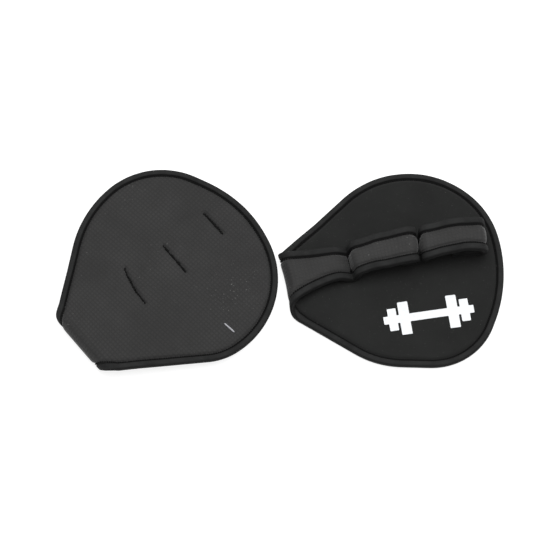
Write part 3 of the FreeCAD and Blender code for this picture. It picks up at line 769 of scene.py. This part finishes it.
def split_outline(grip):
    """The outline's stretches: strap's lower edge, palm flap, far end, finger flap, strap's upper edge."""
    outline = grip.outline
    palm, _ = grip.past_flex("palm", outline)
    finger, _ = grip.past_flex("finger", outline)
    on_pad = outline[:, 0] > grip.fold_x - 1
    label = np.where(on_pad & (palm > BEND_START), 1, 0) + np.where(on_pad & (finger > BEND_START), 2, 0)
    first_palm, last_palm = np.flatnonzero(label == 1)[[0, -1]]
    first_finger, last_finger = np.flatnonzero(label == 2)[[0, -1]]
    return {
        "strap_lower": outline[: first_palm + 1],
        "palm_flap": outline[first_palm : last_palm + 1],
        "far_end": outline[last_palm : first_finger + 1],
        "finger_flap": outline[first_finger : last_finger + 1],
        "strap_upper": outline[last_finger:],
    }


def build_grip(side, materials):
    grip = Grip(side)
    face, lining, foam = materials["face"], materials["lining"], materials["foam"]
    panels = panel_pieces(grip, [face, lining, foam])
    layers = ("face", "foam", "lining")
    centre_nodes = [f"{side}_{part}_{layer}" for part in ("centre", "strap") for layer in layers]
    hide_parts(*centre_nodes)
    attach(grip, panels["centre_panel"], "centre")
    for flap in FLEX_LINES:
        panel = panels[f"{flap}_flap_panel"]
        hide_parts(f"{side}_{flap}_flex_strip", *[f"{side}_{flap}_flap_{layer}" for layer in layers])
        attach(grip, panel, None, flap)
    edges = split_outline(grip)
    tape, thread = materials["tape"], materials["thread"]
    centre_edge = ([f"{side}_centre_binding"], [f"{side}_centre_thread"])
    bound_edge(grip, f"{side}_far_end", edges["far_end"], centre_edge, "centre", tape, thread)
    for flap in FLEX_LINES:
        nodes = ([f"{side}_{flap}_flap_binding"], [f"{side}_{flap}_flap_thread"])
        bound_edge(grip, f"{side}_{flap}_flap", edges[f"{flap}_flap"], nodes, None, tape, thread, flap)
    strap_threads = {"lower": [f"{side}_strap_thread"], "upper": []}
    for edge_name, thread_nodes in strap_threads.items():
        nodes = ([f"{side}_strap_binding_{edge_name}"], thread_nodes)
        line = edges[f"strap_{edge_name}"]
        bound_edge(grip, f"{side}_strap_{edge_name}", line, nodes, "centre", tape, thread)
    seams(grip, thread)
    printed_mark(grip, materials["print"])
    if side == "left":
        tag_pin(grip, materials["tag"])
    return grip


# ---------------------------------------------------------------- seams, print and tag pin


SEAM_STITCHES = {  # each row's zigzag half width, its pitch, its height above the sheet's middle, its radius
    "a": (0.25, 1.7, 0.9, 0.6),
    "b": (0.6, 1.1, 0.95, 0.55),
    "c": (0.8, 0.75, 1.0, 0.5),
}
STITCH_WANDER = 0.22  # how far a stitch's ends stray from the zigzag
STRAP_STITCHES, STRAP_STITCH_HEIGHT, STRAP_STITCH_RADIUS = 7, 1.5, 0.85  # of a row on the strap's outer side


def seams(grip, thread):
    """The three rows of thread that hold the strap down."""
    rng = np.random.default_rng(11 if grip.side == "right" else 12)
    for row, x in grip.seam_x.items():
        start, end = grip.seam_rows[row][:2]
        y = grip.strap_mid(x)
        width, pitch, depth, radius = SEAM_STITCHES[row]
        count = int((end - start) / pitch)
        v = np.linspace(start, end, count + 1)
        sway = width * np.where(np.arange(count + 1) % 2, 1, -1) + rng.normal(0, STITCH_WANDER, count + 1)
        line = np.stack([x + seam_lean(grip, row, v) + sway, y + v], axis=1)
        points = grip.at(line, depth)
        normals = grip.normal(line)
        clumps = 0.35 * np.sin(v * 1.1 + 2) if row == "b" else 0.25 - np.abs(v - v.mean()) / (end - start)
        sizes = radius * (1 + clumps) * rng.uniform(0.75, 1.2, count + 1)
        runs = [(points[i], points[i + 1], sizes[i], normals[i]) for i in range(count)]
        strap_u = grip.strap_seam_u(row)
        if strap_u is not None:
            v = np.linspace(-STRAP_SEAM_HALF, STRAP_SEAM_HALF, STRAP_STITCHES + 1)
            line = np.stack([np.full(len(v), strap_u + STRAP_SEAM_SHIFT), y + FOOT_ASIDE + v], axis=1)
            points, normals = grip.at(line, STRAP_STITCH_HEIGHT), grip.normal(line)
            for i in range(STRAP_STITCHES):
                runs.append((points[i], points[i + 1], STRAP_STITCH_RADIUS, normals[i]))
        obj = stitch_object(grip, f"{grip.side}_seam_{row}", runs, thread)
        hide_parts(f"{grip.side}_seam_{row}_threads")
        attach(grip, obj, "centre")


DUMBBELL_STEPS = ((12.0, 2.6), (18.5, 11.0), (20.0, 2.6), (25.5, 7.5), (28.5, 2.6))
PRINT_MIDDLE, PRINT_TURN = (84.0, -40.0), -4.0
PRINT_GRID = (50, 120, -58, -22, 1.2)  # left and right end, lower and upper end, step


def dumbbell_outline():
    """The print's outline on the pattern: half heights step up and down from the middle."""
    quarter, low_x = [], 0.0
    for end_x, half_height in DUMBBELL_STEPS:
        quarter += [(low_x, half_height), (end_x, half_height)]
        low_x = end_x
    quarter = quarter[1:]
    around = quarter + [(x, -y) for x, y in quarter[::-1]]
    around += [(-x, -y) for x, y in quarter] + [(-x, y) for x, y in quarter[::-1]]
    c, s = math.cos(math.radians(PRINT_TURN)), math.sin(math.radians(PRINT_TURN))
    around = np.array(around)
    turned = np.stack([around[:, 0] * c - around[:, 1] * s, around[:, 0] * s + around[:, 1] * c], axis=1)
    return turned + PRINT_MIDDLE


def printed_mark(grip, material):
    """The print: a thin film that follows the lining."""
    outline = dumbbell_outline()[::-1]
    loop = np.vstack([outline, outline[:1]])
    closed = evenly(loop, 0.8)[:-1]
    left, right, low, high, step = PRINT_GRID
    inner = grid(np.arange(left, right, step), np.arange(low, high, step))
    inner = inner[inside(inner, outline)]
    inner = inner[distance_to(inner, loop) > 0.4]
    count = len(closed)
    edges = [(i, (i + 1) % count) for i in range(count)]
    points, _, triangles, _, _, _ = delaunay_2d_cdt(
        [Vector(q) for q in np.concatenate([closed, inner])], edges, [], 1, 1e-4
    )
    p = np.array([tuple(q) for q in points])
    film_low, film_top = SHEET_HALF - 0.05, SHEET_HALF + 0.1
    faces = [tuple(f) for f in triangles] + [tuple(k + len(p) for k in f[::-1]) for f in triangles]
    directed = {(f[i], f[(i + 1) % 3]) for f in triangles for i in range(3)}
    faces += [(b, a, a + len(p), b + len(p)) for a, b in directed if (b, a) not in directed]
    film = np.concatenate([grip.at(p, -film_top), grip.at(p, -film_low)])
    obj = make_object(f"{grip.side}_print", grip, film, faces, np.concatenate([p, p]), [material])
    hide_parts(f"{grip.side}_printed_mark")
    attach(grip, obj, None, "palm")


TAG_MIDDLE, TAG_LENGTH, TAG_RADIUS = (72.8, -61.1), 8.6, 0.55


def tag_pin(grip, material):
    """The crossbar of a swing tag's pin, and the stub of its filament."""
    stations = np.linspace(-1, 1, 17)
    x, y = TAG_MIDDLE
    line = np.stack([np.full(17, x), y + stations * TAG_LENGTH / 2], axis=1)
    centres = grip.at(line, SHEET_HALF + TAG_RADIUS * 0.8)
    size = TAG_RADIUS * np.sqrt(np.clip(1 - np.abs(stations) ** 10, 0.02, 1))
    size = size * (1 + dent(stations, 0.12, 0.12))
    points, sides = [], 12
    for centre, radius in zip(centres, size):
        for k in range(sides):
            angle = 2 * math.pi * k / sides
            points.append(centre + radius * np.array((math.cos(angle), 0, math.sin(angle) * 0.8)))
    faces = tube_faces(len(stations), sides, flip=True)
    obj = make_object(f"{grip.side}_tag_bar", grip, points, faces, None, [material])
    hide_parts(f"{grip.side}_tag_pin")
    attach(grip, obj, None, "palm")


# ---------------------------------------------------------------- materials


class Nodes:
    """A material's node tree, with short ways to add and join nodes."""

    def __init__(self, name):
        self.material = bpy.data.materials.new(name)
        self.material.use_nodes = True
        self.tree = self.material.node_tree
        self.shader = self.tree.nodes["Principled BSDF"]

    def add(self, kind, **settings):
        node = self.tree.nodes.new(kind)
        for key, value in settings.items():
            setattr(node, key, value)
        return node

    def feed(self, socket, value):
        if isinstance(value, bpy.types.NodeSocket):
            self.tree.links.new(value, socket)
        else:
            socket.default_value = value

    def math(self, operation, *values):
        node = self.add("ShaderNodeMath", operation=operation)
        for socket, value in zip(node.inputs, values):
            self.feed(socket, value)
        return node.outputs[0]

    def pattern(self):
        """The pattern's coordinates in millimetres, as two sockets."""
        uv = self.add("ShaderNodeUVMap", uv_map="pattern")
        split = self.add("ShaderNodeSeparateXYZ")
        self.feed(split.inputs[0], uv.outputs[0])
        return [self.math("MULTIPLY", split.outputs[k], 1 / UV_PER_MM) for k in (0, 1)]

    def noise(self, scale, detail=2.0, roughness=0.5):
        """Noise over the object's own coordinates, scale being waves per metre."""
        coordinates = self.add("ShaderNodeTexCoord")
        node = self.add("ShaderNodeTexNoise")
        self.feed(node.inputs["Vector"], coordinates.outputs["Object"])
        node.inputs["Scale"].default_value = scale
        node.inputs["Detail"].default_value = detail
        node.inputs["Roughness"].default_value = roughness
        return node.outputs["Fac"]

    def ramp(self, value, low, high):
        """value as 0 below low and 1 above high."""
        node = self.add("ShaderNodeMapRange", clamp=True)
        self.feed(node.inputs["Value"], value)
        node.inputs["From Min"].default_value = low
        node.inputs["From Max"].default_value = high
        return node.outputs["Result"]

    def mix(self, factor, a, b):
        node = self.add("ShaderNodeMix", data_type="RGBA")
        self.feed(node.inputs[0], factor)
        for socket, value in ((node.inputs[6], a), (node.inputs[7], b)):
            self.feed(socket, value if isinstance(value, bpy.types.NodeSocket) else (*value, 1.0))
        return node.outputs[2]

    def bump(self, height, strength, distance):
        node = self.add("ShaderNodeBump")
        self.feed(node.inputs["Height"], height)
        node.inputs["Strength"].default_value = strength
        node.inputs["Distance"].default_value = distance
        self.feed(self.shader.inputs["Normal"], node.outputs[0])

    def finish(self, color, roughness, sheen=0.0, sheen_roughness=0.5, specular=0.3):
        self.feed(self.shader.inputs["Base Color"], color)
        self.shader.inputs["Roughness"].default_value = roughness
        self.shader.inputs["Sheen Weight"].default_value = sheen
        self.shader.inputs["Sheen Roughness"].default_value = sheen_roughness
        self.shader.inputs["Specular IOR Level"].default_value = specular
        return self.material


def wave(nodes, coordinate, pitch, power=1.0):
    """0 to 1 and back over each pitch."""
    turned = nodes.math("MULTIPLY", coordinate, 2 * math.pi / pitch)
    raised = nodes.math("MULTIPLY_ADD", nodes.math("COSINE", turned), 0.5, 0.5)
    return nodes.math("POWER", raised, power)


GRID_PITCH, WEAVE_PITCH = 2.27, 0.57
DUST_PATCH, DUST_REACH = (93.0, -43.0), 30  # the pattern coordinates of a dusty spot, and its radius


def grip_fabric():
    """Textured grip fabric: a fine square grid, a little dust."""
    n = Nodes("grip_fabric")
    u, y = n.pattern()
    grooves = n.math("MAXIMUM", wave(n, u, GRID_PITCH, 2.0), wave(n, y, GRID_PITCH, 2.0))
    weave = n.math("MULTIPLY", wave(n, u, WEAVE_PITCH), wave(n, y, WEAVE_PITCH))
    height = n.math("SUBTRACT", n.math("MULTIPLY", weave, 0.35), grooves)
    patches = n.ramp(n.noise(38.0, 4.0, 0.6), 0.35, 0.7)
    base = n.mix(patches, (0.0182, 0.0179, 0.0177), (0.0264, 0.0261, 0.0259))
    contrast = n.math("MULTIPLY_ADD", n.ramp(u, -8, 8), 0.3, 0.22)
    lined = n.mix(n.math("MULTIPLY", grooves, contrast), base, (0.011, 0.011, 0.011))
    from_patch = [n.math("SUBTRACT", value, middle) for value, middle in zip((u, y), DUST_PATCH)]
    distance = n.math("SQRT", n.math("ADD", *[n.math("MULTIPLY", d, d) for d in from_patch]))
    dusty = n.math("SUBTRACT", 1.0, n.ramp(distance, 2, DUST_REACH))
    specks = n.ramp(n.math("ADD", n.noise(900.0, 2.0), n.math("MULTIPLY", dusty, 0.04)), 0.7, 0.78)
    dust = n.math("MULTIPLY", specks, n.math("MAXIMUM", dusty, n.ramp(n.noise(30.0, 2.0), 0.5, 0.68)))
    color = n.mix(n.math("MULTIPLY", dust, 0.5), lined, (0.25, 0.25, 0.24))
    n.bump(height, 0.5, 0.0003)
    return n.finish(color, 0.75, sheen=0.15, sheen_roughness=0.4, specular=0.25)


def jersey():
    """Smooth black jersey: fine knit, soft patches, a few fibres of lint."""
    n = Nodes("jersey")
    u, y = n.pattern()
    knit = n.math("MULTIPLY", wave(n, u, 0.45), wave(n, y, 0.6))
    patches = n.ramp(n.noise(30.0, 5.0, 0.65), 0.3, 0.72)
    base = n.mix(patches, (0.0075, 0.0077, 0.0075), (0.0115, 0.012, 0.0116))
    lint = n.ramp(n.noise(1400.0, 1.0), 0.74, 0.78)
    color = n.mix(n.math("MULTIPLY", lint, 0.35), base, (0.14, 0.14, 0.135))
    n.bump(n.math("ADD", knit, n.noise(260.0, 3.0)), 0.25, 0.00025)
    return n.finish(color, 0.9, sheen=0.1, sheen_roughness=0.5, specular=0.18)


def foam():
    n = Nodes("neoprene_foam")
    color = n.mix(n.noise(1500.0, 3.0), (0.010, 0.010, 0.010), (0.022, 0.022, 0.022))
    n.bump(n.noise(2200.0, 2.0), 0.4, 0.0002)
    return n.finish(color, 0.9)


# Round the tape from its outermost line: the outer band fades out, the painted wall shade and the painted
# lip shade fade in.
TAPE_OUTER_BAND, TAPE_WALL_SHADE_FROM, TAPE_LIP_SHADE_FROM = (2.0, 2.8), (0.7, 1.0), (5.2, 5.9)
TAPE_TICK_PITCH = 0.95


def tape():
    """Woven elastic tape: fine ribs across it, lighter where rubbed, ticks along its outer edge, painted
    shade on its outer wall and lip.
    """
    n = Nodes("binding_tape")
    s, t = n.pattern()
    ribs = wave(n, s, 0.62)
    threads = wave(n, t, 0.5)
    rubbed = n.ramp(n.noise(110.0, 4.0, 0.6), 0.35, 0.75)
    plain = n.mix(rubbed, (0.011, 0.0112, 0.0112), (0.02, 0.0204, 0.0202))
    from_edge = n.math("ABSOLUTE", t)
    outer = n.math("SUBTRACT", 1.0, n.ramp(from_edge, *TAPE_OUTER_BAND))
    # painted shade: the tape's outer wall, which faces down and out, is painted dark, along with the real
    # ticks
    painted_wall_shade = n.math("MULTIPLY", n.ramp(from_edge, *TAPE_WALL_SHADE_FROM), 0.85)
    threads_over = n.math("MULTIPLY", wave(n, s, TAPE_TICK_PITCH), 0.9)
    ticks_and_painted_shade = n.math("MULTIPLY", n.math("MAXIMUM", threads_over, painted_wall_shade), outer)
    # painted shade: the tape's inner lip, down in the stitched groove, is painted nearly black
    painted_lip_shade = n.ramp(from_edge, *TAPE_LIP_SHADE_FROM)
    base = n.mix(n.math("MAXIMUM", ticks_and_painted_shade, painted_lip_shade), plain, (0.004, 0.004, 0.004))
    uneven = n.math("MULTIPLY", n.noise(600.0), 0.6)
    n.bump(n.math("ADD", n.math("MULTIPLY", ribs, threads), uneven), 0.5, 0.0002)
    return n.finish(base, 0.8, specular=0.15)


def thread():
    n = Nodes("sewing_thread")
    color = n.mix(n.noise(900.0, 2.0), (0.003, 0.003, 0.003), (0.007, 0.007, 0.007))
    n.bump(n.noise(3000.0, 1.0), 0.3, 0.0001)
    return n.finish(color, 0.8, specular=0.08)


def ink():
    n = Nodes("print_ink")
    worn = n.ramp(n.noise(500.0, 4.0, 0.7), 0.25, 0.6)
    color = n.mix(worn, (0.62, 0.635, 0.65), (0.7, 0.715, 0.73))
    n.bump(n.noise(900.0, 2.0), 0.2, 0.0001)
    return n.finish(color, 0.6, specular=0.3)


def tag_plastic():
    n = Nodes("tag_plastic")
    color = n.mix(n.noise(300.0), (0.22, 0.22, 0.24), (0.3, 0.3, 0.32))
    n.bump(n.noise(700.0), 0.1, 0.0001)
    return n.finish(color, 0.4, specular=0.5)


# ---------------------------------------------------------------- floor, light and camera


def floor():
    n = Nodes("floor")
    color = n.mix(n.noise(2.0), (0.38, 0.38, 0.38), (0.4, 0.4, 0.4))
    material = n.finish(color, 0.9, specular=0.1)
    n.shader.inputs["Emission Color"].default_value = (1, 1, 1, 1)
    n.shader.inputs["Emission Strength"].default_value = 0.8
    half, below = 3.0, -0.0002
    mesh = bpy.data.meshes.new("floor")
    corners = [(-half, -half, below), (half, -half, below), (half, half, below), (-half, half, below)]
    mesh.from_pydata(corners, [], [(0, 1, 2, 3)])
    mesh.materials.append(material)
    obj = bpy.data.objects.new("floor", mesh)
    bpy.context.scene.collection.objects.link(obj)


def area_light(name, place, aim, size, power):
    light = bpy.data.lights.new(name, "AREA")
    light.shape = "DISK"
    light.size = size
    light.energy = power
    obj = bpy.data.objects.new(name, light)
    obj.location = place
    obj.rotation_euler = (Vector(aim) - Vector(place)).to_track_quat("-Z", "Y").to_euler()
    bpy.context.scene.collection.objects.link(obj)


def lights():
    world = bpy.data.worlds.new("studio")
    world.use_nodes = True
    world.node_tree.nodes["Background"].inputs[0].default_value = (1, 1, 1, 1)
    world.node_tree.nodes["Background"].inputs[1].default_value = 0.6
    bpy.context.scene.world = world
    area_light("key", (0.12, 0.12, 1.5), (0, 0, 0), 1.3, 20)
    area_light("fill", (0.8, 0.4, 1.2), (0, 0, 0), 1.2, 4)


ELEVATION = 67.0
FRAME_WIDTH = 0.347  # what the picture is wide, at the object
LENS, SENSOR = 200.0, 36.0
AIM = (-0.00369, -0.00023, 0.0)


def camera():
    data = bpy.data.cameras.new("camera")
    data.lens = LENS
    data.sensor_width = SENSOR
    data.clip_end = 20
    obj = bpy.data.objects.new("camera", data)
    distance = FRAME_WIDTH * LENS / SENSOR
    up, back = math.sin(math.radians(ELEVATION)), math.cos(math.radians(ELEVATION))
    obj.location = Vector(AIM) + Vector((0, -back, up)) * distance
    obj.rotation_euler = (math.radians(90 - ELEVATION), 0, 0)
    bpy.context.scene.collection.objects.link(obj)
    bpy.context.scene.camera = obj


MATERIALS = {
    "face": grip_fabric(),
    "lining": jersey(),
    "foam": foam(),
    "tape": tape(),
    "thread": thread(),
    "print": ink(),
    "tag": tag_plastic(),
}
for grip_side in SIDES:
    build_grip(grip_side, MATERIALS)
floor()
lights()
camera()
bpy.context.scene.view_settings.view_transform = "Standard"
